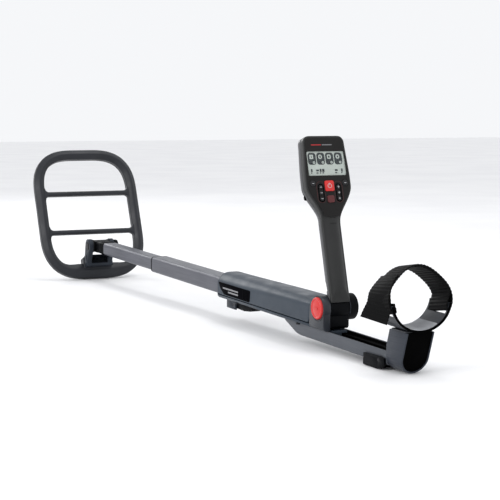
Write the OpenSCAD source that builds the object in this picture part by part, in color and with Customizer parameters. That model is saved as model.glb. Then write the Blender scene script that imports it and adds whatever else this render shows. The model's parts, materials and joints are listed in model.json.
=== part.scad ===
/* [Coil] */
// Width of the search coil
coil_w = 203; // [180:1:230]
// Length of the search coil
coil_len = 254; // [230:1:280]
// Thickness of the coil housing
coil_t = 18; // [16:0.5:22]
// Width of the bar that runs round the coil
coil_bar = 19; // [16:0.5:24]
// Outer radius of the two front corners
coil_r_front = 60; // [50:1:70]
// Outer radius of the two rear corners
coil_r_rear = 70; // [60:1:80]
// Height of the tilt axis above the top of the coil
coil_drop = 23.8; // [20:0.2:28]
// Distance from the tilt axis back to the rear edge of the coil
coil_rear = 53.6; // [48:0.2:60]
// Forward lean of the coil from upright
coil_lean = 22.3; // [10:0.1:40]

/* [Shafts] */
// Width of the lower shaft
lower_w = 27.6; // [26:0.2:28]
// Height of the lower shaft
lower_h = 22; // [20:0.2:22.4]
// Length of the lower tube
lower_len = 291; // [270:1:291]
// Width of the middle shaft
middle_w = 32; // [32:0.2:32.4]
// Height of the middle shaft
middle_h = 26; // [26:0.2:26.4]
// Length of the middle tube
middle_len = 335; // [300:1:336]
// Where the middle tube begins, behind the tilt axis
middle_x = 297; // [290:1:300]
// Wall of both tubes
tube_wall = 1.5; // [1:0.1:1.6]

/* [Body] */
// Where the body begins, behind the tilt axis
body_x = 577; // [560:1:590]
// Half of the body's width
body_half = 25; // [24:0.5:28]
// Top of the body above the shaft axis
body_top = 22.5; // [21:0.5:25]
// Underside of the body below the shaft axis
body_low = -15.5; // [-16:0.1:-15.4]
// Height of the seam between cover and belly
body_seam = -10; // [-11:0.5:-9]

/* [Handle] */
// Distance of the handle pivot behind the tilt axis
pivot_x = 891.5; // [885:0.5:900]
// Height of the handle pivot above the shaft axis
pivot_z = 13.5; // [12:0.5:15]
// Forward lean of the handle
handle_lean = 16; // [12:0.5:20]
// Radius of the hinge barrels
barrel_r = 17; // [16:0.5:18]
// Half of the grip's width
grip_half = 14; // [13:0.1:14]
// Half of the pod's greatest width
pod_half = 33.5; // [32:0.5:36]
// Distance of the handle's top from the pivot
handle_top = 224; // [222:1:232]
// Radius of the red release button
button_r = 14.5; // [13:0.1:14.6]

/* [Armrest] */
// Where the armrest rail begins, behind the tilt axis
rail_x = 782; // [775:1:790]
// Half of the rail's width
rail_half = 17; // [16.8:0.1:17.2]
// Underside of the rail
rail_low = -33.6; // [-34:0.1:-33]
// Half of the pedestal's width
pedestal_half = 19; // [19:0.1:20]
// Backward lean of the pedestal
pedestal_lean = 18; // [10:1:22]
// Inner half width of the forearm loop
loop_half = 41.5; // [38:0.5:46]
// Width of the forearm strap
strap_w = 38; // [25:1:40]

/* [Hidden] */
$fn = 64;
eps = 0.05;

// placement of the shaft frame in the part's frame
shaft_slope = 1.306;
shift_x = -495.5;
shift_z = 64.13;

// coil
coil_split = coil_drop + 12.5;
coil_under = coil_drop + coil_t;
front_bar_u = 117.7;
rear_bar_u = 41.8;
cross_bar = 9;
ear_in = 16.5;
ear_out = 24.5;
tip_half = 13.8;
hinge_r = 13;
bracket_x = 13;
bracket_len = 21;
bolt_r = 4;

// shafts
tube_r = 5;
gap = 0.4;
lower_x = 56;
middle_bore_w = middle_w - 2 * tube_wall;
middle_bore_h = middle_h - 2 * tube_wall;

// body
cover_wall = 2.5;
housing_x = 868;
trough_in = middle_w / 2 + 0.4;
trough_out = trough_in + 2;
trough_z = middle_h / 2 + 0.5;
slot_half = grip_half + 0.5;
recess_half = grip_half + 0.4;
fold_lean = handle_lean + 62;
cam_x = 606;
cam_z = -24;
keel_x = 668;
keel_foot_x = 812;
keel_end = 905;

// handle, measured along its own axis from the pivot
face_out = 25.2;
face_in = 24.2;
shell_split = 12;
grip_front = -1;
pod_back = 3;
pod_back_r = 8.5;
grip_edge = 21;
grip_crown = 24;
seam_low = 3;
neck_low = 112;
neck_high = 157;
lcd_low = 170.5;
lcd_high = 203;
lcd_half = 28;
key_foot = 22.7;
keys_w = 156.5;
lower_key_w = 139;
round_keys_w = 160;
column_w = 139.5;
column_step = 7.7;
small_r = 2.9;
round_r = 4;
cover_low = 162;
cells_low = 164;
cell_r = 7.1;
cell_step = 14.3;
screw_w = [40, 98];
socket_w = 145;

// armrest
rail_top = -16;
rail_end = 1051;
pedestal_x = 1052;
pedestal_rear = 1098.5;
pedestal_low = -38.6;
pedestal_high = 13;
loop_z = 50;
loop_rise = 37;
cuff_x = 1055;
cuff_len = 45;
cuff_wall = 2.5;
lever_x = 1036;
lever_z = -29;
liner_slot = 252;
hinge_flat = 6;

module place() {
  translate([shift_x, 0, shift_z]) rotate([0, shaft_slope, 0]) children();
}

module on_coil() {
  place() rotate([0, 90 - coil_lean, 0]) children();
}

module on_handle(lean = handle_lean) {
  translate([pivot_x, 0, pivot_z]) rotate([0, -lean, 0]) children();
}

module along_x(x0, x1) {
  translate([x0, 0, 0]) rotate([90, 0, 90]) linear_extrude(x1 - x0) children();
}

module across(y0, y1) {
  translate([0, y1, 0]) rotate([90, 0, 0]) linear_extrude(y1 - y0) children();
}

module pin_y(x, z, r, y0, y1) {
  translate([x, y1, z]) rotate([90, 0, 0]) cylinder(r = r, h = y1 - y0);
}

// rounded block section with its own radius below and above
module section(half, low, high, r_low, r_high) {
  middle = (low + high) / 2;
  translate([-half, low + r_low]) square([2 * half, high - low - r_low - r_high]);
  translate([-half + r_low, low]) square([2 * (half - r_low), middle - low]);
  translate([-half + r_high, middle]) square([2 * (half - r_high), high - middle]);
  for (side = [-1, 1]) {
    translate([side * (half - r_low), low + r_low]) circle(r_low);
    translate([side * (half - r_high), high - r_high]) circle(r_high);
  }
}

module tube_section(w, h, r) {
  section(w / 2, -h / 2, h / 2, r, r);
}

// ---- coil ----

// sweeps a bar section, drawn inward from the outer edge, round the coil outline
module round_coil() {
  x_front = coil_rear - coil_len;
  half = coil_w / 2;
  for (side = [-1, 1]) {
    translate([x_front + coil_r_front, side * (half - coil_r_front), 0])
      rotate([0, 0, side > 0 ? 90 : 180])
        rotate_extrude(angle = 90)
          translate([coil_r_front, 0]) children();
    translate([coil_rear - coil_r_rear, side * (half - coil_r_rear), 0])
      rotate([0, 0, side > 0 ? 0 : 270])
        rotate_extrude(angle = 90)
          translate([coil_r_rear, 0]) children();
    // side bars
    translate([x_front + coil_r_front, side * half, 0]) rotate([90, 0, 90])
      linear_extrude(coil_len - coil_r_front - coil_r_rear)
        mirror([side > 0 ? 0 : 1, 0]) children();
  }
  translate([x_front, half - coil_r_front, 0])
    rotate([90, 0, 0]) linear_extrude(coil_w - 2 * coil_r_front) mirror([1, 0]) children();
  translate([coil_rear, half - coil_r_rear, 0])
    rotate([90, 0, 0]) linear_extrude(coil_w - 2 * coil_r_rear) children();
}

module crown_section() {
  polygon([
    [0, -coil_split], [0, -coil_drop - 6], [-1.2, -coil_drop - 4.6], [-7.5, -coil_drop - 0.6],
    [-9, -coil_drop], [-11, -coil_drop], [-12.5, -coil_drop - 0.7],
    [-coil_bar + 1, -coil_drop - 4.6], [-coil_bar, -coil_drop - 6], [-coil_bar, -coil_split],
    [-coil_bar + 2.5, -coil_split], [-coil_bar + 2.5, -coil_drop - 7],
    [-11.5, -coil_drop - 3], [-8.5, -coil_drop - 3], [-2.5, -coil_drop - 7],
    [-2.5, -coil_split]
  ]);
}

module keel_section() {
  polygon([
    [0, -coil_split - eps], [0, -coil_under + 2.5], [-2.5, -coil_under],
    [-coil_bar + 2.5, -coil_under], [-coil_bar, -coil_under + 2.5],
    [-coil_bar, -coil_split - eps]
  ]);
}

// quarter-round web that blends a cross bar into the side bars
module fillet(r) {
  difference() {
    square(r);
    circle(r);
  }
}

module cross_bars(low, high) {
  inner = coil_w / 2 - coil_bar;
  r = 8;
  for (u = [front_bar_u, rear_bar_u])
    translate([-u + cross_bar / 2, 0, low]) linear_extrude(high - low) {
      translate([-cross_bar / 2, -inner - 1]) square([cross_bar, 2 * inner + 2]);
      for (side = [-1, 1], end = [-1, 1])
        mirror([side > 0 ? 0 : 1, 0]) mirror([0, end > 0 ? 0 : 1])
          translate([cross_bar / 2 + r, inner - r]) mirror([1, 0]) fillet(r);
    }
}

// widens the rear bar and carries the bracket
module rear_web(low, high) {
  bar_half = coil_w / 2 - coil_r_rear + 22;
  inner = coil_rear - coil_bar;
  translate([inner - 10, -bar_half, low]) cube([11, 2 * bar_half, high - low]);
  translate([bracket_x, -ear_out - 3, low]) cube([inner - bracket_x, 2 * ear_out + 6, high - low]);
}

module coil_upper_shell() {
  color("#26272b") on_coil() {
    round_coil() crown_section();
    cross_bars(-coil_split, -coil_drop - 4);
    rear_web(-coil_split, -coil_drop - 3);
    // raised seat of the bracket
    translate([bracket_x, -ear_out - 3, -coil_drop - 4])
      cube([coil_rear - coil_bar - bracket_x + 4, 2 * ear_out + 6, 4]);
  }
}

module coil_lower_shell() {
  color("#1c1d20") on_coil() {
    round_coil() keel_section();
    rear_web(-coil_under + 1.5, -coil_split - eps);
  }
}

module coil_winding() {
  color("#a8632c") on_coil()
    round_coil() translate([-13.5, -coil_split + 0.3]) square([7, 4.5]);
}

// cheek of the bracket, running from its foot up to the tilt axis
module ear_outline() {
  hull() {
    circle(hinge_r, $fn = 32);
    translate([bracket_x, -coil_drop + 0.1]) square([bracket_len, 5]);
  }
}

module coil_bracket() {
  color("#303136") on_coil() difference() {
    union() {
      for (side = [-1, 1])
        across(side > 0 ? ear_in : -ear_out, side > 0 ? ear_out : -ear_in) ear_outline();
      translate([bracket_x, -ear_out - 1.5, -coil_drop + 0.1])
        cube([bracket_len, 2 * ear_out + 3, 10.8]);
    }
    pin_y(0, 0, bolt_r + 0.05, -40, 40);
    pin_y(0, 0, 7.5, -ear_out - 2, -ear_out + 3);
  }
}

module coil_bolt() {
  color("#8b8d92") on_coil() {
    pin_y(0, 0, bolt_r, -ear_out + 1, 27.2);
    pin_y(0, 0, 7, -ear_out - 0.6, -ear_out + 2.9);
  }
}

module coil_washers() {
  color("#111214") on_coil() for (side = [-1, 1])
    difference() {
      pin_y(0, 0, 11, side > 0 ? tip_half + 0.3 : -ear_in + 0.1, side > 0 ? ear_in - 0.1 : -tip_half - 0.3);
      pin_y(0, 0, bolt_r + 0.1, -30, 30);
    }
}

module coil_knob() {
  color("#17181a") on_coil() difference() {
    union() {
      pin_y(0, 0, 9.5, ear_out + 0.4, ear_out + 9);
      for (lobe = [0 : 7])
        rotate([0, lobe * 45, 0]) pin_y(8.2, 0, 2.6, ear_out + 0.4, ear_out + 8);
    }
    pin_y(0, 0, bolt_r + 0.1, ear_out, 27.6);
  }
}

// ---- shafts ----

module shaft_tip() {
  color("#2c2e33") place() difference() {
    union() {
      pin_y(0, 0, hinge_r - 2, -tip_half, tip_half);
      translate([0, -tip_half, -hinge_r + 2]) cube([14, 2 * tip_half, 2 * hinge_r - 4]);
      along_x(14, lower_x - eps) tube_section(lower_w, lower_h, tube_r);
      for (rib = [0 : 2])
        along_x(lower_x - 16 + 5 * rib, lower_x - 14 + 5 * rib)
          tube_section(lower_w + 1.2, lower_h + 1.2, tube_r);
      along_x(lower_x - 1, lower_x + 22)
        tube_section(lower_w - 2 * tube_wall - 0.2, lower_h - 2 * tube_wall - 0.2, tube_r - tube_wall);
    }
    pin_y(0, 0, bolt_r + 0.05, -20, 20);
  }
}

module lower_shaft_tube() {
  color("#5b5e66") place() along_x(lower_x, lower_x + lower_len) difference() {
    tube_section(lower_w, lower_h, tube_r);
    tube_section(lower_w - 2 * tube_wall, lower_h - 2 * tube_wall, tube_r - tube_wall);
  }
}

module lower_shaft_glide() {
  end = lower_x + lower_len;
  color("#141517") place() {
    along_x(end - 16, end)
      tube_section(lower_w - 2 * tube_wall - 0.2, lower_h - 2 * tube_wall - 0.2, tube_r - tube_wall);
    along_x(end + eps, end + 4)
      tube_section(middle_bore_w - 2 * gap, middle_bore_h - 2 * gap, tube_r - tube_wall);
  }
}

module middle_shaft_tube() {
  color("#5b5e66") place() along_x(middle_x, middle_x + middle_len) difference() {
    tube_section(middle_w, middle_h, tube_r);
    tube_section(middle_bore_w, middle_bore_h, tube_r - tube_wall);
  }
}

module middle_shaft_collar() {
  color("#1b1c1f") place() along_x(middle_x - 4, middle_x - eps) difference() {
    tube_section(middle_w, middle_h, tube_r);
    tube_section(lower_w + 0.6, lower_h + 0.6, tube_r);
  }
}

module middle_shaft_glide() {
  end = middle_x + middle_len;
  color("#141517") place() along_x(end + eps, end + 5) difference() {
    tube_section(middle_w, middle_h, tube_r);
    tube_section(middle_bore_w - 8, middle_bore_h - 8, 2);
  }
}

// ---- body ----

module fold_recess() {
  on_handle(fold_lean) translate([grip_front - 0.6, -recess_half, 0]) cube([60, 2 * recess_half, 90]);
}

module badge_outline(grow) {
  offset(delta = grow) polygon([[584, 9], [692, 9], [690, -8], [604, -8], [590, 0]]);
}

module body_cover() {
  solid_x = 838;
  color("#3d4047") place() difference() {
    along_x(body_x + 4, housing_x - eps) intersection() {
      section(body_half, body_low, body_top, 5, 12);
      translate([-body_half, body_seam]) square([2 * body_half, 40]);
    }
    along_x(body_x, solid_x)
      section(body_half - cover_wall, body_low - 20, body_top - cover_wall, 2, 9.5);
    along_x(body_x, housing_x + 1)
      section(trough_out + 0.2, body_low - 20, trough_z + 0.1, 2, 0.2);
    for (side = [-1, 1])
      across(side > 0 ? body_half - 0.7 : -body_half - 1, side > 0 ? body_half + 1 : -body_half + 0.7)
        badge_outline(0.15);
    fold_recess();
  }
}

module body_belly() {
  color("#3a3d44") place() difference() {
    union() {
      along_x(body_x + 4, housing_x - eps) intersection() {
        section(body_half, body_low, body_top, 5, 12);
        translate([-body_half, body_low - 1]) square([2 * body_half, body_seam - body_low + 1 - 0.6]);
      }
      for (side = [-1, 1])
        translate([body_x + 4, side > 0 ? trough_in : -trough_out, -12])
          cube([housing_x - body_x - 4 - eps, 2, trough_z + 11.9]);
      // inverted tee keel that the armrest rail runs on
      translate([keel_x, -12, -19]) cube([keel_end - keel_x, 24, 19 + body_low - 0.1]);
      translate([keel_x, -12, -19]) cube([housing_x - keel_x - 1, 24, 4.5]);
      translate([keel_foot_x, -4, -27]) cube([keel_end - keel_foot_x, 8, 9]);
      translate([keel_foot_x, -9, -31]) cube([keel_end - keel_foot_x, 18, 4.6]);
    }
    along_x(body_x, housing_x + 1)
      section(trough_in, -trough_z + 0.1, trough_z + 10, 2, 2);
    translate([cam_x - 10.3, -6.3, -20]) cube([20.6, 12.6, 10]);
    for (x = [640, 830], side = [-1, 1])
      translate([x, side * 21, -20]) cylinder(r = 1.6, h = 12);
  }
}

module body_front_ring() {
  color("#2a2c31") place() along_x(body_x, body_x + 4 - eps) difference() {
    section(body_half - 1, body_low + 0.8, body_top - 1, 5, 11);
    section(trough_in, -trough_z + 0.1, trough_z - 0.1, 4, 4);
  }
}

module side_badges() {
  color("#121316") place() for (side = [-1, 1]) {
    low = side > 0 ? body_half - 0.65 : -body_half - 0.25;
    across(low, low + 0.9) badge_outline(0);
    for (ridge = [0 : 4])
      across(low + (side > 0 ? 0.9 : -0.6), low + (side > 0 ? 1.5 : 0))
        translate([668 + 4.6 * ridge, -7]) square([2.4, 15]);
  }
}

module hinge_housing() {
  color("#4a4d55") place() difference() {
    union() {
      difference() {
        along_x(housing_x, 907) section(body_half, body_low, body_top, 5, 12);
        // behind the pivot only the barrels rise above its height
        translate([pivot_x, -40, pivot_z]) cube([40, 80, 40]);
        // the far ear is cut away behind and below its barrel
        across(slot_half - 1, 40)
          polygon([[pivot_x, pivot_z], [880, -18], [930, -18], [930, pivot_z + 1]]);
      }
      pin_y(pivot_x, pivot_z, barrel_r, slot_half, body_half + 0.4);
      pin_y(pivot_x, pivot_z, barrel_r, -body_half - 0.4, -slot_half);
    }
    translate([873, -slot_half, -30]) cube([50, 2 * slot_half, 80]);
    fold_recess();
    pin_y(pivot_x, pivot_z, button_r + 0.3, -body_half - 1, -body_half + 8);
    pin_y(pivot_x, pivot_z, 4.1, -40, 40);
  }
}

module cam_bracket() {
  color("#4a4d55") place() difference() {
    union() {
      for (side = [-1, 1])
        translate([body_x + 7, side > 0 ? 8.2 : -11.2, -30.5]) cube([30, 3, 30.5 + body_low - 0.1]);
      translate([body_x + 7, -11.2, -30.5]) cube([3, 22.4, 30.5 + body_low - 0.1]);
    }
    pin_y(cam_x, cam_z, 2.05, -20, 20);
  }
}

module cam_clamp_pad() {
  color("#111214") place() translate([cam_x - 10, -6, -18.9]) cube([20, 12, 5.3]);
}

module cam_pin() {
  color("#9a9ca1") place() pin_y(cam_x, cam_z, 2, -11.2, 11.2);
}

module cam_lever() {
  color("#191a1d") place() difference() {
    union() {
      pin_y(cam_x, cam_z, 4.6, -7.8, 7.8);
      across(-7.8, 7.8) polygon([
        [cam_x, -28.6], [cam_x + 30, -29.4], [cam_x + 52, -27], [cam_x + 57, -22.6],
        [cam_x + 57, -20.4], [cam_x + 48, -20], [cam_x, -20.4]
      ]);
    }
    pin_y(cam_x, cam_z, 2.1, -20, 20);
    for (groove = [0 : 3])
      pin_y(cam_x + 34 + 5 * groove, -30.2, 1.6, -20, 20);
  }
}

module pivot_pin() {
  color("#9a9ca1") place() pin_y(pivot_x, pivot_z, 4, -16.6, body_half);
}

module pivot_cap() {
  color("#1b1c1f") place() translate([pivot_x, body_half + 0.5, pivot_z]) rotate([-90, 0, 0])
    rotate_extrude() polygon([[0, 0], [15.4, 0], [15.4, 1.6], [13.6, 3.2], [9, 4.2], [0, 4.6]]);
}

module button_spring() {
  color("#a5a7ac") place() difference() {
    pin_y(pivot_x, pivot_z, 8, -20.9, -body_half + 7.95);
    pin_y(pivot_x, pivot_z, 6.6, -30, 0);
  }
}

module body_screws() {
  color("#8b8d92") place() for (x = [640, 830], side = [-1, 1])
    translate([x, side * 21, 0]) {
      translate([0, 0, -17]) cylinder(r = 1.5, h = 6.6);
      translate([0, 0, -17.4]) cylinder(r = 2.9, h = 1.8);
    }
}

module release_button() {
  color("#d8343a") place() translate([pivot_x, -21, pivot_z]) rotate([90, 0, 0])
    rotate_extrude() polygon([
      [0, 0], [button_r, 0], [button_r, 5.4], [button_r - 1.4, 6.8], [8, 7.6], [0, 7.8]
    ]);
}

// ---- handle ----

function smooth(t) = t <= 0 ? 0 : t >= 1 ? 1 : t * t * (3 - 2 * t);
function half_at(w) = grip_half + (pod_half - grip_half) * smooth((w - neck_low) / (neck_high - neck_low))
  - 3 * smooth((w - neck_high - 7) / (handle_top - neck_high - 7));

// outline of the neck and the pod seen square to the pod's face
module pod_outline(inset, low = neck_low) {
  corner = 9;
  top = handle_top - inset;
  side = half_at(handle_top) - inset;
  right = concat(
    [for (w = [low : 4 : handle_top - 13]) [half_at(w) - inset, w]],
    [for (a = [0 : 15 : 90])
      [side - corner + corner * cos(a), top - corner + corner * sin(a)]]
  );
  left = [for (i = [len(right) - 1 : -1 : 0]) [-right[i][0], right[i][1]]];
  polygon(concat(right, left));
}

// extrudes an outline, drawn across the face, from one depth to another
module deep(x0, x1) {
  translate([x0, 0, 0]) rotate([90, 0, 90]) linear_extrude(x1 - x0) children();
}

// handle pieces sit on the pivot and lean forward
module handle_frame() {
  place() on_handle() children();
}

module knuckle_space(r) {
  pin_y(0, 0, r, -30, 30);
}

module key_outline(w, wide, high, r, grow) {
  translate([0, w]) offset(delta = grow) section(wide / 2, -high / 2, high / 2, r, r);
}

module all_keys(grow) {
  key_outline(keys_w, 13.5, 14, 2.5, grow);
  key_outline(lower_key_w, 10, 9.5, 2, grow);
  for (side = [-1, 1]) {
    translate([side * 24, round_keys_w]) circle(round_r + grow);
    for (row = [0 : 2])
      translate([side * 13, column_w + column_step * row]) circle(small_r + grow);
  }
}

module lcd_opening(grow) {
  translate([-lcd_half - grow, lcd_low - grow])
    square([2 * (lcd_half + grow), lcd_high - lcd_low + 2 * grow]);
}

// crowned rear half of the grip's section, depth along x
module grip_rear_section(inset) {
  sag = grip_crown - grip_edge;
  crown_r = (grip_half * grip_half + sag * sag) / (2 * sag);
  intersection() {
    translate([shell_split + eps, -grip_half + inset])
      square([grip_crown - shell_split, 2 * (grip_half - inset)]);
    translate([grip_crown - crown_r, 0]) circle(crown_r - inset, $fn = 180);
  }
}

// below its bend the back of the handle stands upright behind the pivot
module behind_base() {
  translate([pivot_x + 16.5, -40, -40]) cube([40, 80, 83]);
}

module handle_rear_shell() {
  color("#232427") difference() {
    handle_frame() difference() {
      union() {
        translate([0, 0, seam_low]) linear_extrude(neck_low + 8 - seam_low) grip_rear_section(0);
        deep(shell_split + eps, face_in) pod_outline(0);
      }
      translate([-1, 0, 8]) linear_extrude(neck_low - 14) grip_rear_section(2.2);
      deep(shell_split - 1, face_in - 2) pod_outline(1.8, neck_low + 4);
      knuckle_space(16.7);
      deep(shell_split, 30) {
        all_keys(0.35);
        lcd_opening(1);
      }
    }
    place() behind_base();
  }
}

module grip_front_section(inset) {
  intersection() {
    translate([shell_split, 0])
      scale([(shell_split - grip_front - inset) / (grip_half - inset), 1])
        circle(grip_half - inset, $fn = 48);
    translate([-20, -20]) square([20 + shell_split + inset, 40]);
  }
}

// section of the pod's back half, round along both long edges
module pod_back_section(inset) {
  r = pod_back_r - inset;
  half = pod_half - pod_back_r;
  reach = shell_split + inset;
  translate([pod_back + pod_back_r, -half - r])
    square([reach - pod_back - pod_back_r, 2 * (half + r)]);
  translate([pod_back + inset, -half]) square([shell_split - pod_back, 2 * half]);
  for (side = [-1, 1])
    translate([pod_back + pod_back_r, side * half]) circle(r);
}

module handle_front_shell() {
  color("#4b4d52") handle_frame() difference() {
    union() {
      translate([0, 0, 5]) linear_extrude(neck_low + 3) grip_front_section(0);
      intersection() {
        deep(pod_back, shell_split) pod_outline(0, neck_low + 4);
        translate([0, 0, neck_low]) linear_extrude(handle_top) pod_back_section(0);
      }
    }
    translate([0, 0, 8]) linear_extrude(neck_low - 4) grip_front_section(2.2);
    intersection() {
      deep(pod_back, shell_split + 1) pod_outline(1.6, neck_low + 8);
      translate([0, 0, neck_low]) linear_extrude(handle_top) pod_back_section(1.6);
    }
    knuckle_space(16.7);
    translate([pod_back - 1, -20, cells_low - 1.5]) cube([4, 40, 53]);
    pin_y(8, socket_w, 4.2, -50, -10);
    for (slot = [0 : 3])
      translate([pod_back - 5, -8, 124 + 4 * slot]) cube([8, 16, 1.8]);
    for (w = screw_w)
      translate([grip_front - 3, 0, w]) rotate([0, 90, 0]) cylinder(r = 2.7, h = 6);
  }
}

module handle_base() {
  color("#0f1012") place() difference() {
    union() {
      pin_y(pivot_x, pivot_z, 16.5, -grip_half, grip_half);
      across(-grip_half, grip_half) polygon([
        [pivot_x - 6, 2], [pivot_x - 6, -9], [pivot_x - 2, -13], [pivot_x + 11, -13.4],
        [pivot_x + 14, -10], [pivot_x + 14, 4]
      ]);
      on_handle() translate([5.5, -8.5, 10]) cube([11.5, 17, 24]);
    }
    pin_y(pivot_x, pivot_z, 4.05, -30, 30);
  }
}

module pod_face() {
  color("#2b2b2e") handle_frame() deep(face_in + eps, face_out) difference() {
    pod_outline(2.5, neck_low + 4);
    all_keys(0.35);
    lcd_opening(0);
  }
}

module keypad_mat() {
  color("#3a3a3c") handle_frame() deep(21, 21.8) {
    translate([-17, lower_key_w - 6]) square([34, 31.5]);
    translate([-28.5, round_keys_w - 6]) square([57, 12.5]);
  }
}

module display_window() {
  color("#cfd8d4", 0.4) handle_frame() deep(face_in + 0.1, face_out - 0.2) lcd_opening(-0.15);
}

module display_panel() {
  color("#c9d6cf") handle_frame() deep(21, 23.9) lcd_opening(0.5);
}

module circuit_board() {
  color("#1f5a3a") handle_frame() deep(19.4, 20.8) pod_outline(3.2, neck_low + 16);
}

module speaker() {
  color("#1d1e20") handle_frame() translate([5.5, 0, 132]) rotate([0, 90, 0]) {
    cylinder(r = 10, h = 3);
    translate([0, 0, 3]) cylinder(r = 6, h = 3.5);
  }
}

module battery_cells() {
  color("#6b7f8c") handle_frame() for (cell = [0 : 3])
    translate([pod_back + 8.9, (cell - 1.5) * cell_step, cells_low]) {
      cylinder(r = cell_r, h = 49);
      cylinder(r = 2.6, h = 50.5);
    }
}

module headphone_socket() {
  color("#0c0d0e") handle_frame() difference() {
    pin_y(8, socket_w, 4, -28.5, -12.5);
    pin_y(8, socket_w, 1.8, -30, -14.5);
  }
}

module handle_screws() {
  color("#7d7f84") handle_frame() for (w = screw_w)
    translate([grip_front + 0.4, 0, w]) rotate([0, 90, 0]) {
      cylinder(r = 2.5, h = 1.8);
      cylinder(r = 1.3, h = 11);
    }
}

module battery_cover() {
  color("#1a1b1e") handle_frame() {
    difference() {
      translate([pod_back - 1.8, -21.5, cover_low]) cube([1.6, 43, 57]);
      for (rib = [0 : 4])
        translate([pod_back - 2.4, -9, cover_low + 5 + 3 * rib]) cube([1.2, 18, 1.4]);
    }
  }
}

module square_key(w, wide, high, r, tone) {
  color(tone) handle_frame() deep(key_foot, face_out + 1.3) key_outline(w, wide, high, r, 0);
}

module round_key(y, w, r, tone) {
  rise = face_out - key_foot + 1.1;
  color(tone) handle_frame() translate([key_foot, y, w]) rotate([0, 90, 0])
    rotate_extrude() polygon([[0, 0], [r, 0], [r, rise - 0.6], [r - 0.7, rise - 0.1], [0, rise]]);
}

module column_key(side, row) {
  round_key(side * 13, column_w + column_step * row, small_r, "#3b3c3c");
}

module key_power() { square_key(keys_w, 13.5, 14, 2.5, "#e0454a"); }
module key_pinpoint() { square_key(lower_key_w, 10, 9.5, 2, "#7b4a4c"); }
module key_light() { round_key(-24, round_keys_w, round_r, "#1a1a1c"); }
module key_mode() { round_key(24, round_keys_w, round_r, "#1a1a1c"); }
module key_left_bottom() { column_key(-1, 0); }
module key_left_middle() { column_key(-1, 1); }
module key_left_top() { column_key(-1, 2); }
module key_right_bottom() { column_key(1, 0); }
module key_right_middle() { column_key(1, 1); }
module key_right_top() { column_key(1, 2); }

// ---- armrest ----

module rail_side() {
  polygon([
    [rail_x, rail_top], [rail_x + 4, rail_top - 3], [rail_x + 38, rail_low + 2],
    [rail_x + 46, rail_low], [rail_end, rail_low], [rail_end, rail_top]
  ]);
}

module armrest_rail() {
  color("#5b5e66") place() difference() {
    intersection() {
      across(-rail_half, rail_half) rail_side();
      along_x(rail_x - 1, rail_end + 1) section(rail_half, rail_low, 30, 4, 4);
    }
    along_x(rail_x - 1, rail_end + 2) section(rail_half - 1.6, rail_low + 1.6, 30, 2.4, 2.4);
    pin_y(lever_x, lever_z, 2.1, -30, 30);
  }
}

module rail_liner() {
  end = rail_end - 1;
  color("#0d0e10") place() difference() {
    intersection() {
      across(-rail_half + 1.65, rail_half - 1.65) polygon([
        [rail_x + 8, rail_top - 0.5], [rail_x + 10, rail_top - 5], [rail_x + 42, rail_low + 1.7],
        [end, rail_low + 1.7], [end, rail_top - 0.5]
      ]);
      along_x(rail_x, end + 1) section(rail_half - 1.65, rail_low + 1.65, 30, 2.4, 2.4);
    }
    translate([rail_x - 10, -12.6, -19.5]) cube([400, 25.2, 10]);
    translate([rail_x - 10, -4.6, -28]) cube([liner_slot, 9.2, 20]);
    translate([rail_x - 10, -9.6, -31.5]) cube([liner_slot, 19.2, 5.6]);
    pin_y(lever_x, lever_z, 2.1, -30, 30);
  }
}

// upright U: straight sides and a half round foot
module u_section(half, top) {
  centre = pedestal_low + pedestal_half;
  translate([-half, centre]) square([2 * half, top - centre]);
  translate([0, centre]) circle(half);
}

// leaning side view of the pedestal
module pedestal_side(cut) {
  slope = tan(pedestal_lean);
  top = pedestal_high;
  rear = pedestal_rear - cut;
  polygon([
    [pedestal_x + cut, pedestal_low - 1], [pedestal_x + cut, -8], [pedestal_x + 6.6 + cut, top],
    [rear, top], [rear - slope * (top - pedestal_low + 1), pedestal_low - 1]
  ]);
}

module armrest_pedestal() {
  color("#5b5e66") place() difference() {
    intersection() {
      across(-30, 30) pedestal_side(0);
      along_x(pedestal_x - 1, pedestal_rear + 1) u_section(pedestal_half, 20);
    }
    along_x(pedestal_x - 2, pedestal_rear + 2) u_section(pedestal_half - 1.8, 30);
  }
}

module pedestal_core() {
  color("#060607") place() difference() {
    intersection() {
      across(-30, 30) pedestal_side(1.2);
      along_x(pedestal_x - 1, pedestal_rear + 1) u_section(pedestal_half - 1.85, 20);
    }
    for (side = [-1, 1])
      translate([cuff_x + 23, side * 9, -2]) cylinder(r = 1.6, h = 30);
  }
}

// points of the forearm loop at a distance outside its inner line
function loop_point(a, out) = [(loop_half + out) * sin(a), loop_z - (loop_rise + out) * cos(a)];

module loop_band(a0, a1, step, inner, outer) {
  polygon(concat(
    [for (a = [a0 : step : a1]) loop_point(a, inner)],
    [for (a = [a1 : -step : a0]) loop_point(a, outer)]
  ));
}

module armrest_cuff() {
  color("#8d9096") place() difference() {
    union() {
      along_x(cuff_x, cuff_x + cuff_len) loop_band(-84, 84, 7, -cuff_wall, 0);
      translate([cuff_x + 6, -pedestal_half, pedestal_high + eps]) cube([34, 2 * pedestal_half, 1.6]);
    }
    for (side = [-1, 1])
      translate([cuff_x + 4, side > 0 ? 30 : -50, 33]) cube([cuff_len - 8, 20, 3.6]);
    for (side = [-1, 1])
      translate([cuff_x + 23, side * 9, 0]) {
        cylinder(r = 1.6, h = 30);
        translate([0, 0, pedestal_high + 1.1]) cylinder(r = 3, h = 20);
      }
  }
}

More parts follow.
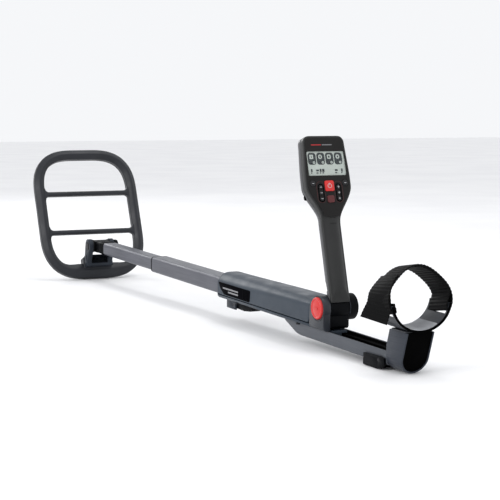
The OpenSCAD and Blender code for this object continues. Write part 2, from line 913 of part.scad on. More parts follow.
module arm_strap() {
  lift = -10;
  color("#17181a") place() {
    translate([cuff_x + cuff_len / 2, 0, loop_z]) rotate([0, lift, 0])
      translate([0, 0, -loop_z]) along_x(-strap_w / 2, strap_w / 2) loop_band(74, 286, 4, 0.5, 2.9);
    along_x(cuff_x + 4, cuff_x + 4 + strap_w) polygon([
      [-46, 62], [-47.5, 50], [-52, 38], [-57, 29], [-55, 28], [-49.6, 37], [-44.9, 50], [-44.6, 58]
    ]);
  }
}

module lever_pin() {
  color("#9a9ca1") place() pin_y(lever_x, lever_z, 2, -20.4, 20.4);
}

module armrest_screws() {
  color("#8b8d92") place() for (side = [-1, 1])
    translate([cuff_x + 23, side * 9, pedestal_high - 12]) {
      cylinder(r = 1.5, h = 14.8);
      translate([0, 0, 13.2]) cylinder(r = 2.9, h = 1.6);
    }
}

module armrest_lever() {
  wall = rail_half + 0.4;
  color("#131416") place() difference() {
    across(-wall - 3.2, wall + 3.2) polygon([
      [lever_x - 35, -25.5], [lever_x - 35.5, -40.3], [lever_x - 2, -40.5], [lever_x + 8, -38],
      [lever_x + 14, -33], [lever_x + 13, -25], [lever_x + 4, -24]
    ]);
    translate([lever_x - 60, -wall, rail_low - 0.5]) cube([90, 2 * wall, 30]);
    // the plate ends ahead of the pin, so that it swings clear of the rail
    translate([lever_x - hinge_flat, -wall, -50]) cube([40, 2 * wall, 50]);
    pin_y(lever_x, lever_z, 2.1, -40, 40);
  }
}

coil_upper_shell();
coil_lower_shell();
coil_winding();
coil_bracket();
coil_bolt();
coil_washers();
coil_knob();
shaft_tip();
lower_shaft_tube();
lower_shaft_glide();
middle_shaft_tube();
middle_shaft_collar();
middle_shaft_glide();
body_cover();
body_belly();
body_front_ring();
side_badges();
hinge_housing();
cam_bracket();
cam_clamp_pad();
cam_pin();
pivot_pin();
pivot_cap();
button_spring();
body_screws();
cam_lever();
release_button();
handle_rear_shell();
handle_front_shell();
handle_base();
pod_face();
keypad_mat();
display_window();
display_panel();
circuit_board();
speaker();
battery_cells();
headphone_socket();
handle_screws();
battery_cover();
key_power();
key_light();
key_pinpoint();
key_mode();
key_left_top();
key_left_middle();
key_left_bottom();
key_right_top();
key_right_middle();
key_right_bottom();
armrest_rail();
rail_liner();
armrest_pedestal();
pedestal_core();
armrest_cuff();
arm_strap();
lever_pin();
armrest_screws();
armrest_lever();
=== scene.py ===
"""Looks of the metal detector: meshes, materials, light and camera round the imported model."""

import json
from math import copysign, cos, pi, radians, sin, sqrt, tan

import bmesh
import bpy
from mathutils import Matrix, Vector

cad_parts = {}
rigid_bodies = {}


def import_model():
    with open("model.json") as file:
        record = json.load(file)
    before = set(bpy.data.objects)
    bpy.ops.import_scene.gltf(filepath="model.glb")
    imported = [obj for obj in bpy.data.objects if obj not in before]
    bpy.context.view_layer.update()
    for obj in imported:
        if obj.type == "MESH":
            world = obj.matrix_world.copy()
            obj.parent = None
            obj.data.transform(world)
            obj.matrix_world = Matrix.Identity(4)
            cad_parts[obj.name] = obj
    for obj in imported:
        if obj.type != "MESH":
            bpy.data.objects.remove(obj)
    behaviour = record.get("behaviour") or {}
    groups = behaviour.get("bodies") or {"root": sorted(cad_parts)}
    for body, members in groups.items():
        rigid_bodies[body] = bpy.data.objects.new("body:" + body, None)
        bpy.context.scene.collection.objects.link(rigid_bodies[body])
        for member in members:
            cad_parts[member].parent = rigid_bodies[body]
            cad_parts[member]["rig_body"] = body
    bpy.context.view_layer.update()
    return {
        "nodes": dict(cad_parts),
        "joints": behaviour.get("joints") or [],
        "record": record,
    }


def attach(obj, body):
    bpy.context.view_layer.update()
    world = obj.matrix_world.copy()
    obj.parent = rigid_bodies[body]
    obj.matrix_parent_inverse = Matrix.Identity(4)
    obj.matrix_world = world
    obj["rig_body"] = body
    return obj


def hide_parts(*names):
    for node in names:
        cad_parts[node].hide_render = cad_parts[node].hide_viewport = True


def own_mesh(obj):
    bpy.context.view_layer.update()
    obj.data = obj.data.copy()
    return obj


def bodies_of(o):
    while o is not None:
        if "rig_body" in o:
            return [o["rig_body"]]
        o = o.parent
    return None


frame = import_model()

MM = 0.001
WELD = 1e-4
SHARP = 35
MITRE_LIMIT = 0.4
GRAIN_DEPTH = 0.00012
ACROSS = Vector((0, 1, 0))
JOINTS = {joint["name"]: joint for joint in frame["joints"]}
MOUNTS = {mount["name"]: mount for mount in frame["record"]["mounts"]}


# ---- local frames, in millimetres ----


def local_frame(origin, z_axis):
    """Row-frame matrix of a local millimetre frame whose Y runs across the object."""
    z_axis = Vector(z_axis).normalized()
    x_axis = ACROSS.cross(z_axis)
    turn = Matrix((x_axis, ACROSS, z_axis)).transposed().to_4x4()
    return Matrix.Translation(Vector(origin)) @ turn @ Matrix.Scale(MM, 4)


def extent(node, where):
    """Lowest and highest corner of a CAD node in a local frame, in millimetres."""
    back = where.inverted()
    points = [back @ v.co for v in frame["nodes"][node].data.vertices]
    low = Vector(min(p[i] for p in points) for i in range(3))
    high = Vector(max(p[i] for p in points) for i in range(3))
    return low, high


along = Vector(JOINTS["middle_shaft_slide"]["axis"]).normalized()
SHAFT = local_frame(JOINTS["coil_tilt"]["pos_m"], along.cross(ACROSS))
COIL = local_frame(JOINTS["coil_tilt"]["pos_m"], -Vector(MOUNTS["coil_underside"]["axis"]))
HANDLE = local_frame(JOINTS["handle_fold"]["pos_m"], -Vector(JOINTS["battery_cover_slide"]["axis"]))


# ---- materials ----


class Shader:
    """A node tree with one Principled surface and short helpers."""

    def __init__(self, name, rough=0.5, metallic=0.0, coat=0.0, sheen=0.0, shine=0.3):
        self.material = bpy.data.materials.new(name)
        self.material.use_nodes = True
        self.nodes = self.material.node_tree.nodes
        self.links = self.material.node_tree.links
        self.surface = self.nodes["Principled BSDF"]
        self.fill(self.surface, {
            "Roughness": rough, "Metallic": metallic, "Specular IOR Level": shine,
            "Coat Weight": coat, "Coat Roughness": 0.2, "Sheen Weight": sheen,
        })
        self.place = self.nodes.new("ShaderNodeTexCoord").outputs["Object"]

    def fill(self, node, inputs):
        """Links the sockets among a node's inputs and sets the plain values."""
        for name, value in inputs.items():
            if isinstance(value, bpy.types.NodeSocket):
                self.links.new(value, node.inputs[name])
            elif value is not None:
                node.inputs[name].default_value = value
        return node.outputs

    def stretched(self, factors):
        node = self.nodes.new("ShaderNodeMapping")
        return self.fill(node, {"Scale": factors, "Vector": self.place})["Vector"]

    def noise(self, scale, detail, at=None):
        node = self.nodes.new("ShaderNodeTexNoise")
        inputs = {"Scale": scale, "Detail": detail, "Vector": at or self.place}
        return self.fill(node, inputs)["Fac"]

    def cells(self, scale, at=None):
        node = self.nodes.new("ShaderNodeTexVoronoi")
        return self.fill(node, {"Scale": scale, "Vector": at or self.place})["Distance"]

    def ramp(self, value, low, high, start=0.35, end=0.65):
        node = self.nodes.new("ShaderNodeMapRange")
        inputs = {"From Min": start, "From Max": end, "To Min": low, "To Max": high}
        return self.fill(node, {**inputs, "Value": value})["Result"]

    def mixed(self, factor, first, second):
        node = self.nodes.new("ShaderNodeMix")
        node.data_type = "RGBA"
        inputs = {"A": (*first, 1), "B": (*second, 1), "Factor": factor}
        return self.fill(node, inputs)["Result"]

    def bump(self, height, strength, distance, below=None):
        node = self.nodes.new("ShaderNodeBump")
        inputs = {"Strength": strength, "Distance": distance, "Height": height}
        return self.fill(node, {**inputs, "Normal": below})["Normal"]

    def finish(self, color=None, rough=None, normal=None):
        self.fill(self.surface, {"Base Color": color, "Roughness": rough, "Normal": normal})
        return self.material


def scaled(color, factor):
    return tuple(min(1.0, c * factor) for c in color)


def moulded(name, color, rough, grain, contrast=0.16, coat=0.0, shine=0.3):
    """Moulded plastic: spark-eroded grain, faint flow patches and uneven gloss."""
    s = Shader(name, rough, coat=coat, shine=shine)
    patches = s.noise(14, 4)
    grains = s.noise(2600, 2)
    pits = s.cells(1500)
    tint = s.mixed(s.ramp(patches, 0, 1), scaled(color, 1 - contrast), scaled(color, 1 + contrast))
    gloss = s.ramp(s.noise(45, 5), rough - 0.06, rough + 0.08)
    soft = s.bump(pits, grain * 0.5, GRAIN_DEPTH)
    return s.finish(tint, gloss, s.bump(grains, grain, GRAIN_DEPTH, soft))


def anodised(name, color, rough=0.34):
    """Drawn aluminium tube with a satin finish and faint lines along its length."""
    s = Shader(name, rough, metallic=0.15, shine=0.22)
    lines = s.noise(900, 3, s.stretched((0.02, 1, 1)))
    patches = s.noise(9, 3)
    tint = s.mixed(s.ramp(patches, 0, 1), scaled(color, 0.9), scaled(color, 1.1))
    gloss = s.ramp(lines, rough - 0.05, rough + 0.1)
    return s.finish(tint, gloss, s.bump(lines, 0.12, 0.00008))


def metal(name, color, rough=0.28):
    """Plated steel with turning marks and small handling marks."""
    s = Shader(name, rough, metallic=1.0)
    marks = s.noise(1800, 4)
    tint = s.mixed(s.ramp(s.noise(260, 3), 0, 1), scaled(color, 0.82), scaled(color, 1.08))
    return s.finish(tint, s.ramp(marks, rough - 0.08, rough + 0.16), s.bump(marks, 0.15, 0.00005))


def soft_rubber(name, color, rough):
    """Silicone rubber: dull, faintly dusty, with a very fine grain."""
    s = Shader(name, rough, sheen=0.05, shine=0.2)
    tint = s.mixed(s.ramp(s.noise(60, 4), 0, 1), scaled(color, 0.85), scaled(color, 1.2))
    grain = s.noise(3800, 2)
    gloss = s.ramp(s.noise(150, 3), rough - 0.08, rough + 0.1)
    return s.finish(tint, gloss, s.bump(grain, 0.2, 0.00006))


def woven(name, color):
    """Narrow black webbing: crossing yarns, fibre fuzz and slightly faded high spots."""
    s = Shader(name, 0.5, sheen=0.01, shine=0.06)
    yarns = s.noise(1500, 2, s.stretched((1, 0.35, 0.35)))
    threads = s.cells(1900, s.stretched((0.45, 1, 1)))
    faded = s.mixed(s.ramp(yarns, 0, 1), scaled(color, 0.7), scaled(color, 1.9))
    weave = s.bump(threads, 0.5, 0.00025)
    return s.finish(faded, s.ramp(yarns, 0.4, 0.6), s.bump(yarns, 0.4, 0.0002, weave))


def printed(name, color, rough=0.4):
    """Ink or a label print with a slight mottle."""
    s = Shader(name, rough)
    tint = s.mixed(s.ramp(s.noise(300, 3), 0, 1), scaled(color, 0.92), scaled(color, 1.06))
    return s.finish(tint, s.ramp(s.noise(500, 2), rough - 0.05, rough + 0.05))


def clear_window(name):
    """Hard-coated acrylic: nearly clear, with a sharp reflection."""
    s = Shader(name, 0.06, shine=0.1)
    s.fill(s.surface, {"Base Color": (0.3, 0.32, 0.31, 1), "Alpha": 0.05})
    smears = s.noise(70, 4)
    return s.finish(rough=s.ramp(smears, 0.04, 0.12))


def liquid_crystal(name, color):
    """Display glass: grey-green with a faint fine mottle."""
    s = Shader(name, 0.3)
    grid = s.cells(900)
    tint = s.mixed(s.ramp(grid, 0, 1, 0, 0.6), scaled(color, 0.94), scaled(color, 1.03))
    return s.finish(tint, s.ramp(s.noise(40, 3), 0.25, 0.35))


def make_materials():
    return {
        "coil": moulded("coil_moulding", (0.015, 0.0165, 0.0205), 0.4, 0.3),
        "dark": moulded("dark_nylon", (0.0035, 0.004, 0.005), 0.42, 0.3, shine=0.05),
        # Near-pure black with almost no gloss: real black on the socket and cuff edging, painted
        # deep shade on the rail liner, pedestal core and key-column wells.
        "black": moulded("black_and_painted_shade", (0.0006, 0.0006, 0.0007), 0.7, 0.3, shine=0.02),
        "slate": moulded("slate_body", (0.035, 0.046, 0.061), 0.34, 0.08, 0.06, shine=0.13),
        "ring": moulded("body_nose", (0.026, 0.031, 0.04), 0.34, 0.25, shine=0.1),
        "housing": moulded("hinge_moulding", (0.026, 0.0295, 0.037), 0.36, 0.2, 0.08),
        "cuff": moulded("cuff_moulding", (0.032, 0.035, 0.042), 0.42, 0.25, 0.08),
        "rib": moulded("cuff_ribs", (0.42, 0.43, 0.45), 0.45, 0.2, 0.08),
        "pedestal": anodised("pedestal_sides", (0.035, 0.041, 0.054), 0.42),
        "tube": anodised("shaft_tube", (0.085, 0.088, 0.105)),
        "rail": anodised("rail_channel", (0.08, 0.087, 0.1), 0.38),
        "grip_dark": moulded("grip_back", (0.019, 0.0195, 0.0193), 0.4, 0.45, 0.12),
        "grip_light": moulded("grip_front", (0.075, 0.076, 0.08), 0.32, 0.25, 0.08, shine=0.4),
        "face": moulded("pod_fascia", (0.0155, 0.0148, 0.0145), 0.36, 0.2, 0.1, shine=0.12),
        "badge": moulded("badge_gloss", (0.002, 0.002, 0.003), 0.24, 0.05, shine=0.003),
        "red": moulded("red_button", (0.62, 0.032, 0.03), 0.34, 0.15, 0.1, coat=0.1),
        "red_mark": printed("red_print", (0.45, 0.025, 0.03)),
        "dim_red": soft_rubber("dim_red_key", (0.1, 0.026, 0.028), 0.5),
        "key": soft_rubber("rubber_key", (0.016, 0.016, 0.0175), 0.5),
        "mat": soft_rubber("keypad_mat", (0.02, 0.02, 0.021), 0.6),
        "rubber": soft_rubber("black_rubber", (0.007, 0.007, 0.0075), 0.6),
        "steel": metal("plated_steel", (0.52, 0.52, 0.54)),
        "black_steel": metal("blackened_steel", (0.035, 0.035, 0.038), 0.42),
        "copper": metal("winding_wire", (0.6, 0.28, 0.12), 0.35),
        "webbing": woven("strap_webbing", (0.0022, 0.0022, 0.0023)),
        "white_mark": printed("pale_print", (0.5, 0.51, 0.52)),
        "grey_mark": printed("grey_print", (0.2, 0.2, 0.21)),
        "lcd": liquid_crystal("lcd_glass", (0.5, 0.55, 0.51)),
        "ink": printed("lcd_segments", (0.02, 0.026, 0.03), 0.3),
        "board": printed("board_green", (0.012, 0.11, 0.045), 0.35),
        "cell": printed("cell_jacket", (0.16, 0.24, 0.3), 0.3),
        "window": clear_window("display_window"),
    }


MATERIALS = make_materials()


# ---- outlines ----


def arc(cx, cy, r, start, end, steps):
    """Points on an arc, angles in degrees."""
    turn = (end - start) / steps
    return [
        (cx + r * cos(radians(start + turn * i)), cy + r * sin(radians(start + turn * i)))
        for i in range(steps + 1)
    ]


def rounded_box(half, low, high, r_low, r_high, steps):
    """Closed outline of the rounded section, anticlockwise from its lower right corner."""
    return (
        arc(half - r_low, low + r_low, r_low, -90, 0, steps)
        + arc(half - r_high, high - r_high, r_high, 0, 90, steps)
        + arc(-half + r_high, high - r_high, r_high, 90, 180, steps)
        + arc(-half + r_low, low + r_low, r_low, 180, 270, steps)
    )


def stadium(cx, cy, half_wide, half_high, r, steps=6):
    """Closed rounded rectangle round a centre."""
    return [(cx + x, cy + y) for x, y in rounded_box(half_wide, -half_high, half_high, r, r, steps)]


def softened(points):
    """Rounds an open polyline by cutting its corners twice."""
    for _ in range(2):
        cut = []
        for a, b in zip(points, points[1:]):
            a, b = Vector(a), Vector(b)
            cut += [tuple(a.lerp(b, 0.25)), tuple(a.lerp(b, 0.75))]
        points = [points[0]] + cut[1:-1] + [points[-1]]
    return points


def even_path(points, step):
    """Points at an even spacing along a polyline."""
    path = [Vector(points[0])]
    for a, b in zip(points, points[1:]):
        a, b = Vector(a), Vector(b)
        while (b - path[-1]).length > step and (b - a).length > 1e-6:
            way = b - path[-1]
            path.append(path[-1] + way * (step / way.length))
    return path


def eased(points, reach):
    """A closed outline whose corners are cut back and rounded within that reach."""
    count = len(points)
    rounded = []
    for i in range(count):
        before, here, after = (Vector(points[k % count]) for k in (i - 1, i, i + 1))
        first = here + (before - here).normalized() * reach
        last = here + (after - here).normalized() * reach
        for t in (0, 0.25, 0.5, 0.75, 1):
            rounded.append(tuple(first.lerp(here, t).lerp(here.lerp(last, t), t)))
    return rounded


def inset(outline, distance):
    """Moves every point of a closed anticlockwise outline inward."""
    count = len(outline)
    moved = []
    for i in range(count):
        before = Vector(outline[i - 1])
        here = Vector(outline[i])
        after = Vector(outline[(i + 1) % count])
        a = (here - before).normalized()
        b = (after - here).normalized()
        normal = Vector((-a.y - b.y, a.x + b.x))
        if normal.length < 1e-6:
            normal = Vector((-a.y, a.x))
        normal.normalize()
        stretch = max(MITRE_LIMIT, normal.dot(Vector((-a.y, a.x))))
        moved.append(tuple(here + normal * (distance / stretch)))
    return moved


def smooth(t):
    """Eases a share between 0 and 1 in and out."""
    t = min(1.0, max(0.0, t))
    return t * t * (3 - 2 * t)


# ---- meshes ----


def bridge(bm, first, second):
    """A belt of faces between two closed rings."""
    count = len(first)
    for i in range(count):
        j = (i + 1) % count
        bm.faces.new((first[i], first[j], second[j], second[i]))


def loft(bm, rings, loop=False):
    """Joins rings of points into one skin, capped at its ends or closed on itself."""
    made = [[bm.verts.new(p) for p in ring] for ring in rings]
    for first, second in zip(made, made[1:]):
        bridge(bm, first, second)
    if loop:
        bridge(bm, made[-1], made[0])
    else:
        bm.faces.new(list(reversed(made[0])))
        bm.faces.new(made[-1])


def plane_x(x, outline):
    return [(x, y, z) for y, z in outline]


def plane_y(y, outline):
    return [(x, y, z) for x, z in outline]


def plane_z(z, outline):
    return [(x, y, z) for x, y in outline]


def across(u, v, h):
    """Places a turned point with its axis across the object."""
    return (u, h, v)


def slab(bm, outline, low, high, plane, edge, steps=3):
    """A plate of that outline whose two rims are rounded over, by less than half its height."""
    edge = min(edge, (high - low) / 2.001)
    turns = [pi / 2 * i / steps for i in range(steps + 1)]
    rings = [
        plane(low + edge * (1 - sin(a)), inset(outline, edge * (1 - cos(a))))
        for a in reversed(turns)
    ]
    rings += [
        plane(high - edge * (1 - sin(a)), inset(outline, edge * (1 - cos(a)))) for a in turns
    ]
    loft(bm, rings)


def box(low, high, edge):
    """A new mesh of a block between two corners, with its edges rounded."""
    bm = bmesh.new()
    outline = rounded_box((high[1] - low[1]) / 2, low[2], high[2], edge, edge, 3)
    middle = (high[1] + low[1]) / 2
    slab(bm, [(y + middle, z) for y, z in outline], low[0], high[0], plane_x, edge * 0.6)
    return bm


def lathe(bm, profile, place, steps=64):
    """Turns a profile of (radius, height) points round an axis given by place(u, v, height)."""
    rings = []
    for r, h in profile:
        turns = [2 * pi * i / steps for i in range(steps)]
        rings.append([place(r * cos(a), r * sin(a), h) for a in turns])
    loft(bm, rings)


def rod(r, low, high, place, steps=32):
    """A new mesh of a plain cylinder, for cutting round holes."""
    bm = bmesh.new()
    lathe(bm, [(0, low), (r, low), (r, high), (0, high)], place, steps)
    return bm


def finish_mesh(bm, where, sharp):
    """Cleans a mesh, moves it into the row frame and marks its sharp edges."""
    bmesh.ops.remove_doubles(bm, verts=bm.verts, dist=WELD)
    bmesh.ops.recalc_face_normals(bm, faces=bm.faces)
    for face in bm.faces:
        face.smooth = True
    for edge in bm.edges:
        if edge.is_manifold and edge.calc_face_angle(0) > radians(sharp):
            edge.smooth = False
    bm.transform(where)


def to_object(name, bm):
    mesh = bpy.data.meshes.new(name)
    bm.to_mesh(mesh)
    bm.free()
    obj = bpy.data.objects.new(name, mesh)
    bpy.context.scene.collection.objects.link(obj)
    return obj


def piece(name, bm, where, body, material, replaces=(), sharp=SHARP):
    """Turns a mesh in a local frame into a finished piece that rides on a body."""
    finish_mesh(bm, where, sharp)
    obj = to_object(name, bm)
    obj.data.materials.append(MATERIALS[material])
    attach(obj, body)
    if replaces:
        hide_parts(*replaces)
    return obj


def carved(bm, *cutters):
    """The mesh with the volumes of the cutters taken out."""
    for mesh in (bm, *cutters):
        bmesh.ops.remove_doubles(mesh, verts=mesh.verts, dist=WELD)
        bmesh.ops.recalc_face_normals(mesh, faces=mesh.faces)
    solid = to_object("solid", bm)
    tools = [to_object("cutter", cutter) for cutter in cutters]
    for tool in tools:
        modifier = solid.modifiers.new("cut", "BOOLEAN")
        modifier.operation = "DIFFERENCE"
        modifier.solver = "EXACT"
        modifier.object = tool
    result = bmesh.new()
    result.from_object(solid, bpy.context.evaluated_depsgraph_get())
    for obj in (solid, *tools):
        mesh = obj.data
        bpy.data.objects.remove(obj)
        bpy.data.meshes.remove(mesh)
    return result


def body_of(node):
    """Name of the body that a CAD node belongs to."""
    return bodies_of(frame["nodes"][node])[0]


def softened_node(node, material, width, where=SHAFT):
    """A piece made from a CAD node, with its hard edges rounded over."""
    bm = bmesh.new()
    bm.from_mesh(frame["nodes"][node].data)
    bm.transform(where.inverted())
    bmesh.ops.remove_doubles(bm, verts=bm.verts, dist=0.004)
    bmesh.ops.dissolve_limit(bm, angle_limit=radians(1), verts=bm.verts, edges=bm.edges)
    hard = [e for e in bm.edges if e.is_manifold and e.calc_face_angle(0) > radians(SHARP)]
    bmesh.ops.bevel(
        bm, geom=hard, offset=width, offset_type="OFFSET", segments=2, profile=0.5,
        affect="EDGES", clamp_overlap=False,
    )
    return piece(node + "_soft", bm, where, body_of(node), material, (node,))


# ---- coil ----

COIL_LOW, COIL_HIGH = extent("coil_lower_shell", COIL)
COIL_TOP = extent("coil_upper_shell", COIL)[1].z
COIL_HALF = COIL_HIGH.y
BAR = 19
SEAT_EXTRA = 9
FRONT_CORNER = 82
REAR_CORNER = 86
SQUARENESS = 2.55
SPLIT = COIL_TOP - 12.5
CROSS_BARS = (-117.7, -41.8)
CROSS_WIDE = 9
FLARE = 8
SEAT_HALF = 27.5


def coil_path():
    """Points round the outer edge of the coil with their inward direction."""
    corners = [
        (COIL_HIGH.x, COIL_HALF, REAR_CORNER, 0), (COIL_LOW.x, COIL_HALF, FRONT_CORNER, 90),
        (COIL_LOW.x, -COIL_HALF, FRONT_CORNER, 180), (COIL_HIGH.x, -COIL_HALF, REAR_CORNER, 270),
    ]
    turned = []
    for x, y, size, start in corners:
        cx = x - size if x > 0 else x + size
        cy = y - size if y > 0 else y + size
        for i in range(33):
            a = radians(start + 90 * i / 32)
            u, v = (copysign(abs(t) ** (2 / SQUARENESS), t) for t in (cos(a), sin(a)))
            turned.append(Vector((cx + size * u, cy + size * v)))
    turned.append(turned[0])
    path = even_path(turned, 3.2)
    if (path[-1] - path[0]).length < 2:
        path.pop()
    steps = []
    for i, here in enumerate(path):
        way = (path[(i + 1) % len(path)] - path[i - 1]).normalized()
        steps.append((here.x, here.y, -way.y, way.x))
    return steps


def sweep_coil(bm, profile):
    """Sweeps a bar profile of (share of the width, height) round the coil, wider at its seat."""
    rings = []
    for x, y, nx, ny in coil_path():
        width = BAR + SEAT_EXTRA * smooth((x - 20) / 24) * smooth((84 - abs(y)) / 52)
        rings.append([(x + nx * width * d, y + ny * width * d, z) for d, z in profile])
    loft(bm, rings, loop=True)


def crown():
    """Ridge of the upper half: a broad outer bevel, a narrow top and a steeper inner slope."""
    top = [
        (0, SPLIT + 0.4), (0, SPLIT + 6.4), (0.07, COIL_TOP - 4.7), (0.38, COIL_TOP - 0.9),
        (0.47, COIL_TOP), (0.57, COIL_TOP - 0.1), (0.68, COIL_TOP - 1.2),
        (0.93, COIL_TOP - 4.9), (1, SPLIT + 6.2), (1, SPLIT + 0.4),
    ]
    return softened(top) + [(0.98, SPLIT), (0.02, SPLIT)]


def cross_bar(bm, front):
    """Bar across the coil, flared where it meets the side bars."""
    middle = front + CROSS_WIDE / 2
    inner = COIL_HALF - BAR
    top = COIL_TOP - 4
    stops = [inner + 3.5]
    stops += [inner - FLARE + FLARE * sin(radians(a)) for a in range(90, -1, -10)]
    stops += [50, 25, 0]
    stops += [-y for y in reversed(stops[:-1])]
    rings = []
    for y in stops:
        reach = max(0.0, min(FLARE, abs(y) - inner + FLARE))
        half = CROSS_WIDE / 2 + FLARE - sqrt(FLARE * FLARE - reach * reach)
        side = [(-half, SPLIT), (-half, top - 3), (-half + 1.4, top - 0.8), (-half + 3.2, top)]
        section = softened(side + [(-x, z) for x, z in reversed(side)])
        rings.append([(middle + x, y, z) for x, z in section])
    loft(bm, rings)


def build_coil():
    bm = bmesh.new()
    sweep_coil(bm, crown())
    for front in CROSS_BARS:
        cross_bar(bm, front)
    slab(bm, stadium(25.5, 0, 12.5, SEAT_HALF, 4), SPLIT, COIL_TOP, plane_z, 1.4, 5)
    piece("coil_top_moulding", bm, COIL, "coil", "coil", ("coil_upper_shell",), 50)

    bm = bmesh.new()
    low = COIL_LOW.z
    keel = softened([
        (0, SPLIT - 0.5), (0, low + 3), (0.04, low + 1), (0.14, low), (0.86, low),
        (0.96, low + 1), (1, low + 3), (1, SPLIT - 0.5),
    ])
    sweep_coil(bm, keel + [(0.97, SPLIT - 0.1), (0.03, SPLIT - 0.1)])
    slab(bm, stadium(24, 0, 11, SEAT_HALF, 4), low + 1.5, SPLIT - 0.1, plane_z, 1, 4)
    piece("coil_base_moulding", bm, COIL, "coil", "coil", ("coil_lower_shell",), 50)

    softened_node("coil_bracket", "ring", 0.8, COIL)
    softened_node("coil_knob", "dark", 0.4, COIL)
    softened_node("coil_bolt", "black_steel", 0.5, COIL)
    softened_node("coil_washers", "rubber", 0.25, COIL)


# ---- shafts ----

TUBE_CORNER = 5
TUBE_WALL = 1.5
CHAMFER = 0.45


def tube_outline(node, cut=0.0):
    """Outline of a shaft tube, cut back inward all round."""
    low, high = extent(node, SHAFT)
    half_wide = (high.y - low.y) / 2 - cut
    half_high = (high.z - low.z) / 2 - cut
    corner = TUBE_CORNER - min(cut, 3.4)
    return stadium(0, (high.z + low.z) / 2, half_wide, half_high, corner, 10)


def tube(name, node):
    """Hollow tube with chamfered ends."""
    low, high = extent(node, SHAFT)
    outer = tube_outline(node)
    edge = tube_outline(node, CHAMFER)
    inner = tube_outline(node, TUBE_WALL)
    bm = bmesh.new()
    rings = [
        plane_x(low.x, inner), plane_x(low.x, edge), plane_x(low.x + CHAMFER, outer),
        plane_x(high.x - CHAMFER, outer), plane_x(high.x, edge), plane_x(high.x, inner),
    ]
    loft(bm, rings, loop=True)
    piece(name, bm, SHAFT, body_of(node), "tube", (node,), 25)


def build_tip():
    """Plug that closes the lower tube and turns between the cheeks of the bracket."""
    half = 13.8
    bore = 4.05
    seat = extent("lower_shaft_tube", SHAFT)[0].x
    end = extent("shaft_tip", SHAFT)[1].x
    knuckle = bmesh.new()
    slab(knuckle, stadium(0, 0, 11, 11, 10.99, 16)[::-1], -half, half, plane_y, 0.8)
    bm = carved(knuckle, rod(bore, -20, 20, across))
    drilled = carved(box((1, -half, -10.6), (20, half, 10.6), 2), rod(bore, -20, 20, across))
    block = bpy.data.meshes.new("block")
    drilled.to_mesh(block)
    drilled.free()
    bm.from_mesh(block)
    bpy.data.meshes.remove(block)
    slab(bm, tube_outline("lower_shaft_tube"), 14, seat - 0.1, plane_x, 0.6)
    for rib in range(3):
        x = seat - 16 + 5 * rib
        slab(bm, tube_outline("lower_shaft_tube", -0.6), x, x + 2, plane_x, 0.5)
    slab(bm, tube_outline("lower_shaft_tube", 1.6), seat - 1, end, plane_x, 0.4)
    piece("tip_moulding", bm, SHAFT, "lower_shaft", "dark", ("shaft_tip",))


def build_shafts():
    tube("lower_tube", "lower_shaft_tube")
    tube("middle_tube", "middle_shaft_tube")
    build_tip()
    softened_node("middle_shaft_collar", "dark", 0.3)


# ---- body ----

COVER_LOW, COVER_HIGH = extent("body_cover", SHAFT)
BODY_HALF = COVER_HIGH.y
BODY_TOP = COVER_HIGH.z
COVER_WALL = 2.5
TAIL = 7


def shoulder(x):
    """Radius of the body's two upper edges, fuller at the nose."""
    return 19 - 7 * smooth((x - 590) / 240)


def cover_ring(x, low, grow=0.0):
    """Section of the cover: an arch with a wall, standing on its seam."""
    half = BODY_HALF + grow
    top = BODY_TOP + grow
    r = shoulder(x)
    outer = (
        [(half - 0.8, low), (half - 0.1, low + 0.5), (half, low + 1.1)]
        + arc(half - r, top - r, r, 0, 90, 10) + arc(-half + r, top - r, r, 90, 180, 10)
        + [(-half, low + 1.1), (-half + 0.1, low + 0.5), (-half + 0.8, low)]
    )
    inner = (
        [(-half + COVER_WALL, low)] + arc(-half + r, top - r, r - COVER_WALL, 180, 90, 6)
        + arc(half - r, top - r, r - COVER_WALL, 90, 0, 6) + [(half - COVER_WALL, low)]
    )
    return plane_x(x, outer + inner)


def build_nose():
    """Rounded front of the body round the mouth that the shafts slide into."""
    gap = 0.35
    low, high = extent("body_front_ring", SHAFT)
    rings = []
    for back, cut in ((0, 4.2), (0.5, 2.6), (1.4, 1.2), (2.6, 0.4), (4, 0)):
        lip = low.z - 0.8 + min(cut, 1)
        outline = rounded_box(BODY_HALF - cut, lip, BODY_TOP - cut, 5, shoulder(low.x) - cut, 8)
        rings.append(plane_x(low.x + back, outline))
    tube_low, tube_high = extent("middle_shaft_tube", SHAFT)
    mouth = rounded_box(tube_high.y + gap, tube_low.z - gap, tube_high.z + gap, 5.2, 5.2, 8)
    rings += [plane_x(high.x, mouth), plane_x(low.x + 0.4, mouth)]
    rings.append(plane_x(low.x, inset(mouth, -0.5)))
    bm = bmesh.new()
    loft(bm, rings, loop=True)
    piece("nose_moulding", bm, SHAFT, "main_body", "ring", ("body_front_ring",))


def fold_motion(direction):
    """Row-frame motion that folds the handle down (1) or brings it back up (-1)."""
    joint = JOINTS["handle_fold"]
    pivot = Matrix.Translation(Vector(joint["pos_m"]))
    angle = direction * radians(joint["range_deg"][0])
    return pivot @ Matrix.Rotation(angle, 4, Vector(joint["axis"])) @ pivot.inverted()


def fold_recess():
    """Space in the top of the body that the folded handle lies in."""
    bm = box((-1.6, -14.5, 0), (58, 14.5, 92), 0.5)
    bm.transform(SHAFT.inverted() @ fold_motion(1) @ HANDLE)
    return bm


